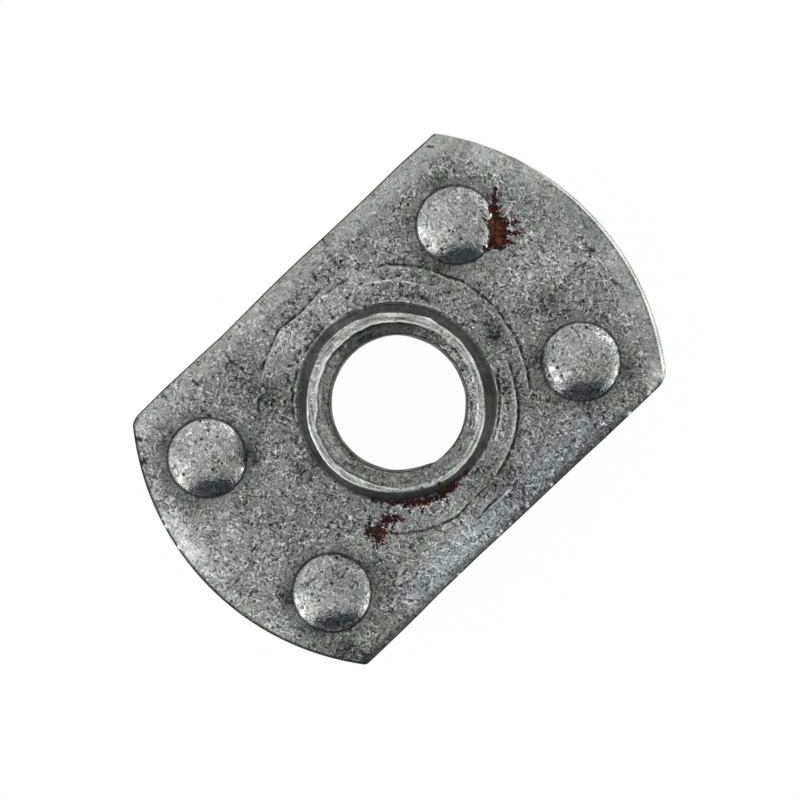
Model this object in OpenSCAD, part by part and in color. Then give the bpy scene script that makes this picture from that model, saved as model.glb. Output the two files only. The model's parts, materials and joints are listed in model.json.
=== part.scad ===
// Projection weld nut: one cold-headed piece with a round flange that has two flat sides,
// domed welding projections and a pilot collar on its upper face, and a threaded barrel below.
// Millimetres. The origin is on the bore's axis, at the end of the barrel. +Z points to the
// projections, and +X along the flange's long way, so the flats face +Y and -Y.

/* [Bore] */
// Diameter of the bore at the crests of its M6 thread
bore_d = 5.1; // [4.9:0.05:5.3]
// Diameter of the countersink at each mouth of the bore
countersink_d = 6.1; // [5.7:0.1:6.5]
// Included angle of each countersink
countersink_angle = 90; // [60:5:120]

/* [Barrel] */
// Outside diameter of the barrel
barrel_d = 9.2; // [8:0.1:10.5]
// Length of the barrel below the flange
barrel_h = 4.2; // [2:0.1:8]
// Chamfer round the end of the barrel
barrel_chamfer = 0.4; // [0.1:0.05:0.7]
// Radius of the fillet between the barrel and the flange
barrel_fillet = 0.4; // [0.1:0.05:0.8]

/* [Flange] */
// Diameter of the flange across its round ends
flange_d = 20; // [18:0.5:24]
// Width of the flange across its two flats
flange_af = 12.7; // [11.5:0.1:15]
// Thickness of the flange
flange_t = 1.8; // [1.2:0.1:3]
// Radius of the upper edge along each flat, where the shear drew the metal down
flat_edge_r = 0.25; // [0.1:0.05:0.9]
// Radius of the upper edge round each end, as it left the die
end_edge_r = 0.2; // [0.1:0.05:0.6]
// Radius of the edge all round the underside
under_edge_r = 0.15; // [0.05:0.05:0.3]

/* [Raised ring] */
// Width of the ring of metal pushed up round the collar
ring_w = 1.15; // [0.5:0.05:1.6]
// Height of that ring above the flange
ring_h = 0.06; // [0.02:0.02:0.2]

/* [Pilot collar] */
// Diameter of the collar at its foot
collar_foot_d = 7.4; // [7.2:0.1:8.4]
// Diameter of the collar at its top
collar_top_d = 6.75; // [6.7:0.05:7.1]
// Height of the collar above the flange
collar_h = 0.8; // [0.5:0.1:2]
// Bevel of the collar's top edge
collar_bevel = 0.12; // [0.04:0.02:0.16]

/* [Welding projections] */
// Diameter of each projection where it leaves the flange
projection_d = 2.95; // [2:0.05:3.4]
// Height of each projection above the flange
projection_h = 0.65; // [0.5:0.05:1.2]
// Distance from a flat to the centres of the projections beside it
projection_to_flat = 2.9; // [2.2:0.05:3.4]
// Distance from a round end to the centres of the projections beside it
projection_to_end = 2.78; // [2.2:0.02:3.4]

/* [Die offsets] */
// How far the trimmed flange sits along X from the bore's axis
flange_offset_x = 0.14; // [-0.4:0.02:0.4]
// How far it sits along Y from the bore's axis
flange_offset_y = 0.08; // [-0.4:0.02:0.4]
// How far the projections' pattern sits along X from the bore's axis
projection_offset_x = -0.28; // [-0.4:0.02:0.4]
// How far that pattern sits along Y from the bore's axis
projection_offset_y = -0.06; // [-0.4:0.02:0.4]
// Angle by which that pattern is turned from the flats
projection_turn = -0.75; // [-2:0.25:2]
// How far the collar sits along X from the bore's axis
collar_offset_x = -0.08; // [-0.14:0.02:0.14]
// How far the collar sits along Y from the bore's axis
collar_offset_y = 0.1; // [-0.14:0.02:0.14]

/* [Hidden] */
$fn = 96;
steel = "#84898a";

// Levels above the end of the barrel
flange_top = barrel_h + flange_t;
collar_top = flange_top + collar_h;

// Depth that the collar and the projections root into the flange
root = flange_t / 2;

// Amount by which cutting shapes pass the faces that they cut
over = 0.5;

bore_r = bore_d / 2;
countersink_slope = tan(countersink_angle / 2);
countersink_depth = (countersink_d - bore_d) / 2 / countersink_slope;

// Sphere whose cap stands projection_h high on a circle of projection_d
projection_r = (pow(projection_d / 2, 2) + pow(projection_h, 2)) / (2 * projection_h);

// Places of the projections, from the flange's flats and its round ends
projection_y = flange_af / 2 - projection_to_flat;
projection_x = sqrt(pow(flange_d / 2 - projection_to_end, 2) - pow(projection_y, 2));

// What a radius takes off a square corner that lies at the origin
module corner_waste(r) {
    difference() {
        square(r);
        translate([r, r])
            circle(r);
    }
}

// Rectangle from x = 0, with its two outer corners rounded
module rounded_half_section(half_w, h, upper_r, lower_r) {
    difference() {
        square([half_w, h]);
        translate([half_w, h])
            rotate(180)
                corner_waste(upper_r);
        translate([half_w, 0])
            rotate(90)
                corner_waste(lower_r);
    }
}

// Round disc as the die forms it, with its rolled rim
module headed_disc() {
    rotate_extrude()
        rounded_half_section(flange_d / 2, flange_t, end_edge_r, under_edge_r);
}

// Bar whose two sides are the sheared flats, with the metal drawn down along their upper edges
module sheared_bar() {
    rotate([90, 0, 90])
        linear_extrude(flange_d + 2 * over, center = true)
            for (side = [0, 1])
                mirror([side, 0])
                    rounded_half_section(flange_af / 2, flange_t, flat_edge_r, under_edge_r);
}

module flange() {
    translate([flange_offset_x, flange_offset_y, barrel_h])
        intersection() {
            headed_disc();
            sheared_bar();
        }
}

// Barrel with its end chamfer and the fillet that carries it into the flange
module barrel() {
    barrel_r = barrel_d / 2;
    rotate_extrude() {
        polygon([
            [0, 0],
            [barrel_r - barrel_chamfer, 0],
            [barrel_r, barrel_chamfer],
            [barrel_r, barrel_h + root],
            [0, barrel_h + root]
        ]);
        translate([barrel_r, barrel_h])
            mirror([0, 1])
                corner_waste(barrel_fillet);
        translate([barrel_r, barrel_h])
            square([barrel_fillet, root]);
    }
}

module raised_ring() {
    translate([collar_offset_x, collar_offset_y, flange_top - root])
        cylinder(d = collar_foot_d + 2 * ring_w, h = root + ring_h);
}

// Tapered collar that centres the nut in the hole of the sheet it is welded to
module pilot_collar() {
    taper = (collar_foot_d - collar_top_d) / 2 / collar_h;
    translate([collar_offset_x, collar_offset_y, flange_top])
        rotate_extrude()
            polygon([
                [0, -root],
                [collar_foot_d / 2, -root],
                [collar_foot_d / 2, 0],
                [collar_top_d / 2 + taper * collar_bevel, collar_h - collar_bevel],
                [collar_top_d / 2 - collar_bevel, collar_h],
                [0, collar_h]
            ]);
}

// One welding projection: a spherical cap, rooted in the flange
module projection_dome() {
    intersection() {
        translate([0, 0, projection_h - projection_r])
            sphere(projection_r);
        translate([0, 0, -root])
            cylinder(r = 2 * projection_r, h = root + projection_h + over);
    }
}

module projections() {
    translate([projection_offset_x, projection_offset_y, flange_top])
        rotate(projection_turn)
            for (side_x = [-1, 1], side_y = [-1, 1])
                translate([side_x * projection_x, side_y * projection_y])
                    projection_dome();
}

// Bore with a countersink at each mouth
module bore_cut() {
    mouth_r = countersink_d / 2 + over * countersink_slope;
    rotate_extrude()
        polygon([
            [0, -over],
            [mouth_r, -over],
            [bore_r, countersink_depth],
            [bore_r, collar_top - countersink_depth],
            [mouth_r, collar_top + over],
            [0, collar_top + over]
        ]);
}

module weld_nut() {
    color(steel)
        difference() {
            union() {
                barrel();
                flange();
                raised_ring();
                pilot_collar();
                projections();
            }
            bore_cut();
        }
}

weld_nut();
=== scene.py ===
# Projection weld nut in dull cold-headed steel, seen from straight above its projections.
import json
import math

import bpy
import numpy as np
from mathutils import Matrix, Vector
from mathutils.geometry import delaunay_2d_cdt
from mathutils.kdtree import KDTree


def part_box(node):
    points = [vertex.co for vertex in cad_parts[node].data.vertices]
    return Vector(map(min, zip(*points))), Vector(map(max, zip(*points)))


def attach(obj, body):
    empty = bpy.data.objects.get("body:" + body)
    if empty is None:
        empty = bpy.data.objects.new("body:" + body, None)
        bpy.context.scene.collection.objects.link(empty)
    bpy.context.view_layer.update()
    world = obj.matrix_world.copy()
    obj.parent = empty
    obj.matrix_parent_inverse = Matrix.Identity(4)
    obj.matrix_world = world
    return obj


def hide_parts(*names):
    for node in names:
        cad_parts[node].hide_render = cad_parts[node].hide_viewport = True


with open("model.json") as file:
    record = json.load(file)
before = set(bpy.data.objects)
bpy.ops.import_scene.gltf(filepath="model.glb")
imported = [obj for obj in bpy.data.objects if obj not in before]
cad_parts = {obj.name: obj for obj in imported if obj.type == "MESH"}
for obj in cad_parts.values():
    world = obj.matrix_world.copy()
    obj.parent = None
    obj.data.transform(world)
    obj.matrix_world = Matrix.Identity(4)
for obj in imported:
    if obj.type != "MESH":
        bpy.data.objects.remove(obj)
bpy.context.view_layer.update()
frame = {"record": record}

# Sizes in millimetres, from the frame where it states them
MM = 0.001
mounts = {m["name"]: m for m in frame["record"]["mounts"]}
low, high = (np.array(corner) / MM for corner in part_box("weld_nut"))
END_R = (high[0] - low[0]) / 2
HALF_AF = (high[1] - low[1]) / 2
FLANGE_X = (high[0] + low[0]) / 2
FLANGE_Y = (high[1] + low[1]) / 2

BORE_R = mounts["threaded_bore"]["dims"]["r_mm"]
collar = mounts["pilot_collar"]
COLLAR_X, COLLAR_Y, FACE_Z = (c / MM for c in collar["pos_m"])
COLLAR_H = collar["dims"]["length_mm"]
pattern = mounts["weld_projections"]
DOME_X, DOME_Y, DOME_TOP_Z = (c / MM for c in pattern["pos_m"])
DOME_HALF_X = pattern["dims"]["spacing_x_mm"] / 2
DOME_HALF_Y = pattern["dims"]["spacing_y_mm"] / 2
DOME_H = DOME_TOP_Z - FACE_Z
RIM_Z = FACE_Z + COLLAR_H

# Sizes that only the solids hold
DOME_R = 1.475
DOME_TURN = math.radians(-0.75)
FLANGE_T = 1.8
UNDER_Z = FACE_Z - FLANGE_T
UNDER_EDGE_R = 0.15
BARREL_R = 4.6
BARREL_CHAMFER = 0.4
BARREL_FILLET = 0.4
COUNTERSINK_R = 3.05

# The ring pushed up round the collar, and the M6 thread
RING_R = 4.9
RING_H = 0.05
THREAD_PITCH = 1.0
THREAD_ROOT_R = 3.02
FLANK_ANGLE = math.radians(30)

# How far each projection sits from its place in the pattern, from the one at -X -Y, and the
# steepest slope of its side
DOME_NUDGES = ((0.0, 0.01), (0.0, -0.045), (-0.02, 0.02), (0.01, 0.015))
DOME_SLOPE = math.radians(40)

# The part's long way, +X, runs up to the right in the picture at this angle
PICTURE_TURN = math.radians(43.57)
RIGHT = np.array([math.cos(PICTURE_TURN), -math.sin(PICTURE_TURN), 0.0])
UP = np.array([math.sin(PICTURE_TURN), math.cos(PICTURE_TURN), 0.0])

# How far the sheared flats wander inwards, as (distance along from the middle, depth)
WANDER_PLUS_Y = [
    (-7.7, 0.06), (-6.0, 0.025), (-4.0, 0.055), (-3.2, 0.075), (-2.0, 0.045), (-1.0, 0.01),
    (0.0, 0.0), (1.0, 0.0), (2.0, 0.015), (4.0, 0.035), (6.0, 0.015), (7.0, 0.045), (7.8, 0.085),
]
WANDER_MINUS_Y = [
    (-7.7, 0.0), (-6.0, 0.0), (-5.0, 0.015), (-4.0, 0.05), (-2.0, 0.06), (0.0, 0.03), (3.5, 0.02),
    (4.5, 0.0),
]

# How far the round ends at +X and at -X are flattened at their middles
FLATTENED_PLUS_X = 0.055
FLATTENED_MINUS_X = 0.015

# How the upper face falls at each edge: a bevel that steepens outwards, then a tight radius
EDGES = {
    "plus_y": {"bevel_w": 0.7, "bevel_h": 0.08, "power": 1.5, "radius": 0.08},
    "minus_y": {"bevel_w": 0.34, "bevel_h": 0.16, "power": 1.4, "radius": 0.08},
    "plus_x": {"bevel_w": 0.16, "bevel_h": 0.17, "power": 1.1, "radius": 0.03},
    "minus_x": {"bevel_w": 0.6, "bevel_h": 0.04, "power": 1.5, "radius": 0.1},
}

# How much of each corner is knocked off, from the one at +X +Y, counter-clockwise
CORNER_CUTS = (0.1, 0.25, 0.08, 0.35)

# Edges of the collar, as (degrees from +X, radius from the collar's centre)
COLLAR_FOOT = [
    (-180, 3.645), (-160, 3.66), (-140, 3.68), (-120, 3.69), (-100, 3.72), (-88, 3.755), (-60, 3.76),
    (-35, 3.75), (-20, 3.735), (-5, 3.7), (20, 3.715), (40, 3.69), (115, 3.7), (125, 3.63),
    (140, 3.61), (160, 3.63),
]
LAND_OUTER = [
    (-180, 3.4), (-160, 3.39), (-150, 3.36), (-135, 3.35), (-120, 3.35), (-112, 3.39), (-105, 3.42),
    (-95, 3.44), (-78, 3.43), (-60, 3.39), (-52, 3.355), (-45, 3.31), (-40, 3.29), (-20, 3.29),
    (0, 3.31), (17, 3.3), (24, 3.38), (31, 3.33), (45, 3.32), (58, 3.35), (65, 3.31), (72, 3.36),
    (100, 3.36), (106, 3.31), (112, 3.275), (130, 3.26), (142, 3.28), (150, 3.32), (165, 3.35),
]
LAND_INNER = [
    (-180, 3.16), (-160, 3.1), (-150, 3.11), (-135, 3.2), (-120, 3.22), (-105, 3.26), (-90, 3.28),
    (-75, 3.21), (-60, 3.08), (-40, 3.05), (-20, 3.02), (20, 3.0), (60, 2.99), (75, 2.97),
    (90, 2.94), (120, 2.92), (135, 2.91), (142, 2.88), (150, 3.03), (165, 3.09),
]

# How bright the painted highlights, with some rubbing, along the land's edges are, and how dark the
# painted shade line inside it, by direction
OUTER_SHINE = [
    (-180, 0.8), (-150, 0.5), (-125, 0.2), (-105, 0.5), (-95, 1.0), (-60, 1.0), (-50, 0.3),
    (-10, 0.5), (10, 0.5), (18, 0.2), (22, 1.0), (27, 1.0), (32, 0.2), (47, 0.8), (52, 0.8), (60, 0.3),
    (110, 0.2), (136, 0.3), (146, 1.0), (178, 1.0),
]
INNER_SHINE = [
    (-170, 0.4), (-150, 0.6), (-140, 0.4), (-110, 0.3), (-80, 0.1), (-40, 0.3), (20, 0.2),
    (35, 0.7), (60, 0.7), (100, 0.8), (103, 1.2), (109, 0.5), (112, 1.2), (125, 1.0), (132, 0.2),
    (140, 1.0), (146, 1.0), (156, 0.2),
]
INNER_LINE = [
    (-180, 0.8), (-150, 0.8), (-140, 0.4), (-120, 0.2), (-60, 0.1), (-20, 0.3), (20, 0.3),
    (33, 0.9), (60, 1.0), (110, 0.9), (125, 0.5), (145, 0.6), (165, 0.7),
]

# Fold lines that the heading die left round the collar: strength, then (degrees from +X, radius)
FOLDS = [
    (0.85, [
        (-38, 5.015), (-30, 5.035), (-20, 5.055), (-15, 5.065), (-9, 5.05), (-5, 5.065), (0, 5.085),
        (8, 5.095), (15, 5.115), (19, 5.105), (22, 5.065), (25, 5.045), (30, 5.065), (35, 5.085),
        (45, 5.095), (54, 5.095),
    ]),
    (0.6, [(66, 4.9), (70, 4.835), (75, 4.8), (79, 4.755)]),
    (0.65, [
        (79, 5.03), (82, 4.95), (84, 4.88), (88, 4.83), (92, 4.82), (96, 4.875), (100, 4.96),
        (103, 5.04), (106, 5.08), (109, 5.02), (113, 5.01), (118, 5.03), (127, 5.045),
    ]),
    (0.7, [(135, 5.04), (140, 5.03), (143, 4.98), (146, 4.85)]),
    (1.0, [
        (-80, 4.61), (-68, 4.63), (-60, 4.615), (-50, 4.585), (-45, 4.555), (-40, 4.525), (-35, 4.485),
        (-30, 4.465), (-24, 4.455),
    ]),
    (0.35, [(-137, 4.84), (-128, 4.83), (-120, 4.84), (-112, 4.81)]),
    (0.85, [
        (-114, 4.815), (-112, 4.81), (-105, 4.795), (-102, 4.715), (-99, 4.65), (-95, 4.61), (-90, 4.59),
        (-85, 4.6),
    ]),
    (0.5, [(-98, 5.3), (-95, 5.21), (-92, 5.17), (-87, 5.19), (-83, 5.27)]),
    (0.7, [(-57, 3.85), (-45, 3.855), (-28, 3.85)]),
    (0.6, [(87, 3.87), (91, 3.795), (95, 3.775), (108, 3.775)]),
    (0.5, [(117, 3.79), (122, 3.75), (128, 3.77), (135, 3.75), (145, 3.74)]),
]
FOLD_LIP_H = 0.03
FOLD_LIP_W = 0.07
FOLD_GROOVE_D = 0.04
FOLD_GROOVE_W = 0.045

# Fine ridges beside them, with painted highlights along them
RIDGES = [
    (1.0, [(33, 4.46), (38, 4.48), (45, 4.53), (60, 4.53)]),
    (1.0, [(-90, 3.8), (-62, 3.8), (-40, 3.81), (-18, 3.79)]),
    (0.7, [(18, 3.81), (25, 3.82), (30, 3.77), (62, 3.76)]),
    (1.0, [(78, 3.75), (100, 3.76), (118, 3.75)]),
    (1.0, [(-66, 3.99), (-50, 3.99), (-40, 4.01)]),
    (0.8, [(-62, 4.56), (-45, 4.52), (-35, 4.45), (-26, 4.4)]),
    (0.9, [(-99, 5.42), (-96, 5.31), (-93, 5.25), (-88, 5.28), (-83, 5.37), (-79, 5.43)]),
    (0.6, [(82, 4.9), (85, 4.85), (88, 4.81), (92, 4.8), (96, 4.84), (100, 4.92)]),
]
RIDGE_W = 0.035

# Bright nicks along the edges, as (x, y, radius, depth)
NICKS = [
    (-0.66, -6.12, 0.09, 0.04), (-0.48, -6.1, 0.07, 0.04), (-0.06, -6.14, 0.07, 0.03),
    (0.87, -6.1, 0.07, 0.04), (0.93, -6.02, 0.07, 0.04), (2.06, -6.15, 0.07, 0.03),
    (-2.77, -6.17, 0.07, 0.03), (5.99, -6.24, 0.09, 0.05), (7.06, -6.18, 0.09, 0.05),
    (7.25, -6.08, 0.1, 0.06), (7.45, -6.0, 0.12, 0.06), (7.66, -5.82, 0.09, 0.05),
    (-9.42, 2.62, 0.1, 0.0), (-9.5, 1.0, 0.07, 0.0), (-9.6, 1.75, 0.09, 0.0), (-9.3, 2.9, 0.09, 0.0),
]

# Rubbed places beside the rust, as ((x, y), (x, y), half width)
RUBBED = [
    ((7.13, 2.63), (7.34, 2.68), 0.03),
    ((6.87, 2.46), (6.59, 2.12), 0.02),
    ((6.47, 2.08), (6.37, 1.92), 0.02),
    ((7.61, 1.99), (7.48, 1.75), 0.015),
]

# Painted highlights on the projections where they face the lights, with some rubbed places, by their
# numbers
# in DOMES: degrees counter-clockwise from the picture's right, distance from the centre, radius and
# strength
SHINE_ON_DOMES = {
    3: [
        (81, 1.36, 0.14, 0.5), (228, 1.18, 0.2, 0.35), (188, 1.3, 0.16, 0.35),
        (252, 1.02, 0.12, 0.3),
    ],
    2: [
        (192, 1.1, 0.14, 0.6), (214, 1.1, 0.15, 0.6), (-8, 1.4, 0.09, 0.9), (-20, 1.4, 0.09, 0.9),
        (-32, 1.39, 0.09, 0.7), (36, 1.38, 0.12, 0.5), (24, 1.4, 0.09, 0.4),
    ],
    1: [
        (217, 1.25, 0.17, 0.6), (238, 1.36, 0.1, 0.6), (-18, 1.4, 0.09, 0.7), (64, 1.38, 0.12, 0.4),
        (38, 1.38, 0.1, 0.3), (176, 1.36, 0.14, 0.3), (-68, 0.8, 0.12, 0.3),
    ],
    0: [
        (213, 1.38, 0.16, 0.7), (194, 1.38, 0.14, 0.6), (236, 1.38, 0.1, 0.5), (-3, 1.38, 0.1, 0.6),
        (-22, 1.38, 0.1, 0.5), (155, 1.2, 0.16, 0.3), (-58, 0.82, 0.12, 0.5),
    ],
}

# Black specks: (x, y, radius) over the face, then (degrees, distance, radius) near the collar
SPECKS = [
    (6.72, 0.62, 0.05), (8.36, -0.78, 0.05), (7.6, -2.0, 0.06), (6.7, -2.0, 0.05), (6.4, -1.3, 0.05),
    (5.2, 1.1, 0.05), (-3.34, 4.95, 0.06), (-3.75, 4.85, 0.06), (-3.7, 4.2, 0.05), (-5.2, 5.0, 0.05),
    (-5.5, 4.8, 0.05), (-5.8, 4.6, 0.05), (-2.0, 3.8, 0.05), (5.35, 5.1, 0.06), (2.9, 5.5, 0.05),
]
SPECKS_BY_COLLAR = [
    (69, 4.35, 0.05), (71, 4.28, 0.06), (-11, 4.45, 0.09), (-9, 4.33, 0.07), (16.5, 4.4, 0.05),
    (32, 4.05, 0.08), (40, 3.98, 0.07), (57, 4.45, 0.06), (95.5, 4.7, 0.05), (101, 4.08, 0.05),
    (114, 3.92, 0.05), (83, 3.92, 0.05), (125, 4.05, 0.06), (62, 4.6, 0.05), (-39, 4.05, 0.05),
    (-29, 3.97, 0.07), (-26, 4.05, 0.06), (-105, 3.42, 0.075), (-116, 3.33, 0.06),
]
# and (degrees, distance, radius) on the projections, placed as the painted highlights are
SPECKS_ON_DOMES = {
    3: [
        (223, 0.33, 0.045), (247, 0.27, 0.04), (-70, 0.57, 0.05), (30, 1.07, 0.04),
        (-13, 1.02, 0.04), (217, 1.33, 0.05), (242, 1.05, 0.05),
    ],
    2: [
        (194, 0.91, 0.065), (179, 1.04, 0.05), (216, 0.9, 0.05), (81, 1.3, 0.06), (105, 1.3, 0.045),
        (153, 1.18, 0.05), (15, 0.85, 0.035), (204, 1.32, 0.05),
    ],
    1: [
        (105, 0.73, 0.05), (63, 0.89, 0.045), (93, 0.31, 0.04), (-19, 0.61, 0.04),
        (196, 0.48, 0.04), (216, 1.06, 0.05), (-65, 0.49, 0.04),
    ],
    0: [
        (90, 0.37, 0.065), (210, 0.53, 0.045), (182, 0.73, 0.05), (57, 0.74, 0.05),
        (16, 0.78, 0.045), (57, 1.06, 0.05), (82, 1.34, 0.05), (161, 0.94, 0.04),
        (114, 0.87, 0.045),
    ],
}

# Dark scratches and notches, as ((x, y), (x, y), half width)
SCRATCHES = [
    ((-6.16, 6.28), (-6.14, 6.05), 0.03),
    ((-4.97, 5.86), (-4.95, 5.62), 0.05),
    ((-3.46, 5.5), (-3.4, 5.15), 0.04),
    ((-3.75, 5.36), (-3.62, 5.46), 0.04),
    ((2.18, 6.34), (2.1, 6.08), 0.035),
    ((7.38, 6.18), (7.52, 6.0), 0.03),
    ((1.02, 5.7), (0.94, 5.4), 0.05),
    ((9.12, -0.8), (9.2, -0.92), 0.07),
    ((8.92, -2.3), (8.95, -2.4), 0.05),
    ((-8.6, 5.06), (-8.36, 4.9), 0.06),
    ((-8.36, 4.94), (-8.3, 5.02), 0.04),
    ((-8.02, 5.8), (-7.9, 5.62), 0.06),
    ((-7.38, -2.4), (-6.7, -2.62), 0.02),
]

# Rust: strokes as ((x, y), (x, y), half width) by a projection
RUST_BY_DOME = [
    ((8.11, 3.27), (7.59, 2.84), 0.1),
    ((7.59, 2.84), (7.14, 2.18), 0.22),
    ((7.24, 2.28), (6.89, 1.83), 0.4),
    ((7.24, 2.18), (7.88, 1.89), 0.12),
    ((7.14, 1.98), (7.62, 1.52), 0.13),
    ((6.94, 1.78), (7.23, 1.32), 0.1),
    ((6.89, 1.98), (6.4, 1.91), 0.16),
    ((7.04, 2.48), (7.06, 2.82), 0.08),
]
# and as ((degrees, radius), (degrees, radius), half width) by the collar
RUST_BY_COLLAR = [
    ((-147, 3.72), (-135, 3.74), 0.06),
    ((-137, 3.75), (-125, 3.79), 0.1),
    ((-127, 3.8), (-115, 3.85), 0.16),
    ((-117, 3.84), (-105, 3.85), 0.17),
    ((-107, 3.84), (-97, 3.81), 0.14),
    ((-99, 3.79), (-88, 3.77), 0.06),
    ((-124, 3.72), (-112, 3.73), 0.04),
    ((-112, 3.72), (-100, 3.72), 0.06),
    ((-100, 3.71), (-86, 3.7), 0.07),
    ((-126, 3.95), (-126, 4.1), 0.04),
    ((-119, 3.95), (-119, 4.2), 0.05),
    ((-115, 3.95), (-114, 4.22), 0.05),
    ((-105, 3.95), (-106, 4.2), 0.05),
    ((-137, 3.9), (-137, 4.25), 0.07),
    ((-139, 4.3), (-132, 4.25), 0.11),
    ((-131, 4.42), (-136, 4.36), 0.09),
    ((-138, 4.45), (-143, 4.8), 0.2),
    ((-144, 4.85), (-139, 4.85), 0.18),
    ((-145, 5.05), (-146, 4.85), 0.09),
    ((-141, 4.9), (-140, 5.25), 0.14),
    ((-140, 5.2), (-141, 5.55), 0.07),
    ((-138.5, 5.15), (-138, 5.35), 0.06),
    ((-146.5, 4.35), (-145, 4.65), 0.07),
    ((-135, 4.78), (-134, 4.55), 0.07),
]
RUST_REACH = 0.24

# Radii of a darker band and of a pitted band round the collar
DARK_BAND_R = 4.76
PITTED_BAND_R = 4.0

# Broad lighter and darker places of the face, as (x, y, radius, strength)
TONES = [
    (-9.5, 1.3, 0.55, 0.3), (-9.3, 2.4, 0.6, 0.2), (-8.4, 0.6, 1.2, 0.08),
    (8.8, 4.5, 0.9, 0.16), (9.5, 2.7, 0.7, 0.15), (9.6, -1.9, 0.6, 0.12), (9.2, -3.5, 0.6, 0.1),
    (7.7, -6.0, 0.5, 0.15), (8.2, 0.1, 0.9, 0.1), (6.2, 0.2, 0.6, 0.06), (7.5, 0.0, 2.5, 0.03),
    (-3.0, -5.5, 0.9, 0.12), (-1.4, -5.5, 0.9, 0.12), (-4.8, -5.9, 0.6, 0.1), (2.0, -5.4, 0.8, 0.06),
    (-1.4, 4.4, 0.7, 0.13), (0.6, 4.4, 0.7, 0.1), (2.1, 4.2, 0.6, 0.1), (4.1, -5.6, 0.6, 0.05),
    (4.3, -0.6, 0.6, -0.19), (3.3, -2.3, 0.5, -0.15), (4.9, -2.4, 0.6, -0.13), (5.0, 0.9, 0.5, -0.13),
    (4.6, 2.7, 0.6, -0.13), (6.6, 4.9, 0.5, -0.1), (6.7, -1.2, 0.7, -0.1), (7.1, -4.8, 0.6, -0.13),
    (-5.4, 2.4, 0.6, -0.16), (-3.5, 3.5, 0.6, -0.17), (-3.95, 0.65, 0.6, -0.15), (-8.0, 2.8, 0.5, -0.07),
    (-5.2, -4.1, 0.6, -0.15), (-7.9, -2.4, 0.5, -0.13), (-8.1, -4.1, 0.6, -0.12), (-7.4, -5.9, 0.5, -0.12),
    (0.7, -4.5, 0.8, -0.09), (5.0, -4.9, 0.5, -0.07), (-7.2, 4.9, 0.5, -0.06), (-7.9, -5.4, 0.5, -0.15),
    (-6.04, -3.11, 0.5, -0.12),
]

# Width of the strip of painted shade along the flat at -Y, as (distance along from the middle, width)
DARK_STRIP = [
    (-8.0, 0.32), (-5.5, 0.22), (-4.5, 0.14), (-3.0, 0.18), (-1.0, 0.22), (2.0, 0.24), (4.0, 0.28),
    (4.8, 0.36), (5.3, 0.15), (6.5, 0.04), (8.0, 0.02),
]

# Width of the painted highlight round the end at +X, and strength of the painted shade line inside it, as
# (degrees round the flange's centre, width or strength)
END_SHINE = [(-39, 0.16), (-20, 0.15), (0, 0.14), (8, 0.12), (16, 0.07), (20, 0.03), (40, 0.02)]
END_LINE = [
    (-38, 0.5), (-34, 0.3), (-22, 0.9), (-15, 0.7), (0, 0.8), (8, 0.6), (12, 0.3), (24, 0.5),
    (27, 0.2), (40, 0.2),
]

# Radius of the bore's mouth where its crests are worn, by direction, and its draft down the bore
WORN_MOUTH = [
    (-150, 2.47), (-140, 2.495), (-120, 2.48), (-108, 2.52), (-101, 2.593), (-90, 2.565), (-70, 2.55),
    (-50, 2.505), (-35, 2.5), (-20, 2.465), (30, 2.465), (40, 2.508), (50, 2.525), (70, 2.5),
    (90, 2.49), (110, 2.472), (160, 2.48),
]
WORN_DRAFT = 0.0155

# Names of the marks kept at each point of the mesh; tone_and_painted_light holds random tone and painted
# light and shade, wear_and_highlight real wear and painted highlights, and dirt_and_shade real specks,
# scratches and pits and painted shade
MARKS = ("tone_and_painted_light", "wear_and_highlight", "dirt_and_shade", "rust", "calm", "polish", "turned", "cool")

# Depths of small forms in the face, and the height of the rust
CREASE_D = 0.035
FOOT_GROOVE_D = 0.03
SCRATCH_D = 0.03
SPECK_D = 0.02
RUST_H = 0.02

# Waves, dents and grain of the headed face, as (height, size, seed)
FACE_WAVES = ((0.02, 3.6, 51), (0.008, 1.1, 52), (0.005, 0.42, 53), (0.004, 0.2, 54))

# Mesh spacing
FACE_STEP = 0.078
RIM_STEP = 0.085
UNDER_STEP = 0.17
DOME_STEP = 0.075
FOLD_STEP = 0.055
BORE_STEP = 0.062
COLUMNS = 160
COLLAR_COLUMNS = 340
FEATURE_GAP = 0.026
EDGE_MARGIN = 0.012
MOUTH_R = 2.62
MOUTH_Z = RIM_Z - 0.72

# Rows of points: inside the edges, beside a fold line, about a projection's foot, round the collar,
# and down the flange's side as parts of the way
UPPER_INSETS = (0.014, 0.032, 0.052, 0.072, 0.094, 0.118, 0.142, 0.168, 0.2, 0.24, 0.29, 0.35, 0.42)
UNDER_INSETS = (0.02, 0.05, 0.1, 0.16)
FOLD_ROWS = (-0.055, -0.02, 0.015, 0.045, 0.08, 0.12)
DOME_FOOT_ROWS = (-0.12, -0.07, -0.035, -0.01, 0.012, 0.035, 0.07, 0.12, 0.19)
COLLAR_ROWS = (*np.arange(2.67, 2.9, 0.046), *np.arange(2.9, 3.82, 0.036), 3.87, 3.94, 4.01)
RIM_ROWS = (0.02, 0.08, 0.2, 0.34, 0.48, 0.6, 0.72, 0.84, 0.94)


def ease(start, end, value):
    """0 before start, 1 after end, and a smooth step between."""
    t = np.clip((value - start) / (end - start), 0.0, 1.0)
    return t * t * (3.0 - 2.0 * t)


def span(value, rise, risen, fall, fallen):
    """0 outside a range, 1 within it, and a smooth step at either end."""
    return ease(rise, risen, value) * (1 - ease(fall, fallen, value))


def bump(distance, width):
    """1 at no distance, falling to nothing over about twice the width."""
    return np.exp(-((distance / width) ** 2))


def soft_min(a, b, k):
    """The lesser of a and b, rounded over k where they cross."""
    h = np.clip(0.5 + 0.5 * (b - a) / k, 0.0, 1.0)
    return b * (1.0 - h) + a * h - k * h * (1.0 - h)


def along(table, value, period=None):
    """The second number of a table at a value of its first."""
    places, values = np.array(table, float).T
    return np.interp(value, places, values, period=period)


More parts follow.
